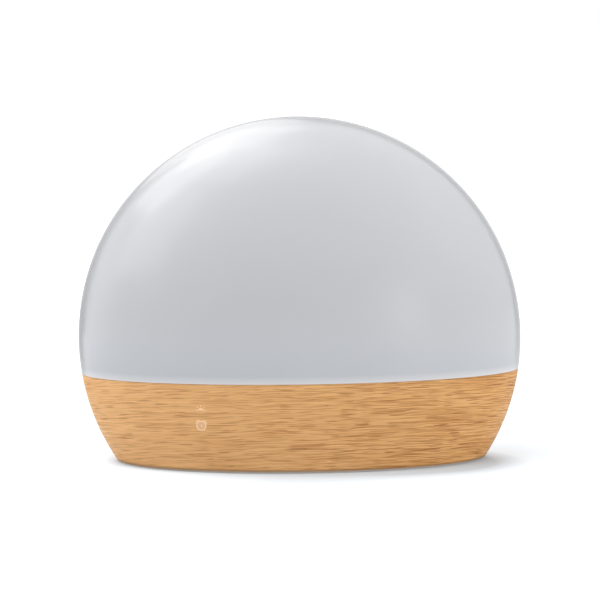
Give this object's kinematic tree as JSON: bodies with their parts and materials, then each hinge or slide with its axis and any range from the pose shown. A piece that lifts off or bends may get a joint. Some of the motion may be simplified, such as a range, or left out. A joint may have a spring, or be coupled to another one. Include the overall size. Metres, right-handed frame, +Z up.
{
  "type": "wake-up light alarm clock",
  "caption": "Bedside wake-up light: frosted flattened-ball dome on a wood-veneered base with a hidden display, rear push buttons, power inlet and coin-cell door",
  "frame": {"origin": "on the table plane, under the middle of the body", "axes": "+Z up, +X to the right seen from the front, front of the clock towards -Y"},
  "size_m": [0.2, 0.088, 0.1554],
  "materials": {
    "frosted_dome": "frosted satin",
    "oak_veneer": "oiled satin",
    "shell_plastic": "fine moulded texture",
    "deck_white": "matte white",
    "light_board": "white solder mask on aluminium",
    "light_package": "yellow phosphor",
    "small_screw": "zinc plated",
    "base_screw": "zinc plated",
    "lead_sleeve": "flexible sleeve",
    "shroud_white": "matte white",
    "board_green": "solder mask",
    "ribbon": "flat cable",
    "panel_plastic": "fine moulded texture",
    "button_plastic": "satin",
    "switch_black": "moulded",
    "plate_plastic": "fine moulded texture",
    "foot_rubber": "soft matte",
    "cell_steel": "bright nickel",
    "contact_brass": "stamped",
    "speaker_frame": "black",
    "speaker_magnet": "dark ferrite",
    "speaker_paper": "pressed paper",
    "capacitor_can": "sleeved can",
    "connector_white": "natural nylon",
    "jack_pin": "nickel plated"
  },
  "bodies": {
    "clock_body": {"dome_diffuser": "frosted_dome", "wood_veneer": "oak_veneer", "base_shell": "shell_plastic", "light_deck": "deck_white", "led_board": "light_board", "led_packages": "light_package", "led_board_screws": "small_screw", "led_lead": "lead_sleeve", "display_shroud": "shroud_white", "display_board": "board_green", "segment_leds": "light_package", "display_screws": "small_screw", "display_ribbon": "ribbon", "control_panel": "panel_plastic", "switch_bodies": "switch_black", "button_board": "board_green", "button_board_screws": "small_screw", "bottom_plate": "plate_plastic", "base_screws": "base_screw", "rubber_feet": "foot_rubber", "coin_cell": "cell_steel", "battery_spring": "contact_brass", "battery_clip": "contact_brass", "battery_lead": "lead_sleeve", "speaker_basket": "speaker_frame", "speaker_magnet": "speaker_magnet", "speaker_cone": "speaker_paper", "speaker_screws": "small_screw", "speaker_lead": "lead_sleeve", "controller_chip": "switch_black", "supply_capacitors": "capacitor_can", "board_connectors": "connector_white", "dc_jack": "switch_black", "dc_jack_pin": "jack_pin"},
    "plus_button_body": {"plus_button": "button_plastic", "plus_switch_plunger": "switch_black"},
    "minus_button_body": {"minus_button": "button_plastic", "minus_switch_plunger": "switch_black"},
    "clock_button_body": {"clock_button": "button_plastic", "clock_switch_plunger": "switch_black"},
    "alarm_button_body": {"alarm_button": "button_plastic", "alarm_switch_plunger": "switch_black"},
    "sound_button_body": {"sound_button": "button_plastic", "sound_switch_plunger": "switch_black"},
    "light_button_body": {"light_button": "button_plastic", "light_switch_plunger": "switch_black"},
    "door_body": {"battery_door": "plate_plastic"}
  },
  "joints": [
    {"name": "plus_press", "type": "slide", "parent": "clock_body", "child": "plus_button_body", "axis": [0, -1, 0], "range_m": [0, 0.0007], "stiffness_N_per_m": 600, "springref_m": -0.0003},
    {"name": "minus_press", "type": "slide", "parent": "clock_body", "child": "minus_button_body", "axis": [0, -1, 0], "range_m": [0, 0.0007], "stiffness_N_per_m": 600, "springref_m": -0.0003},
    {"name": "clock_press", "type": "slide", "parent": "clock_body", "child": "clock_button_body", "axis": [0, -1, 0], "range_m": [0, 0.0007], "stiffness_N_per_m": 600, "springref_m": -0.0003},
    {"name": "alarm_press", "type": "slide", "parent": "clock_body", "child": "alarm_button_body", "axis": [0, -1, 0], "range_m": [0, 0.0007], "stiffness_N_per_m": 600, "springref_m": -0.0003},
    {"name": "sound_press", "type": "slide", "parent": "clock_body", "child": "sound_button_body", "axis": [0, -1, 0], "range_m": [0, 0.0007], "stiffness_N_per_m": 600, "springref_m": -0.0003},
    {"name": "light_press", "type": "slide", "parent": "clock_body", "child": "light_button_body", "axis": [0, -1, 0], "range_m": [0, 0.0007], "stiffness_N_per_m": 600, "springref_m": -0.0003},
    {"name": "battery_door_turn", "type": "hinge", "parent": "clock_body", "child": "door_body", "pos_m": [-0.04483, 0, 0.0025], "axis": [0, 0, 1], "range_deg": [0, 60]}
  ]
}
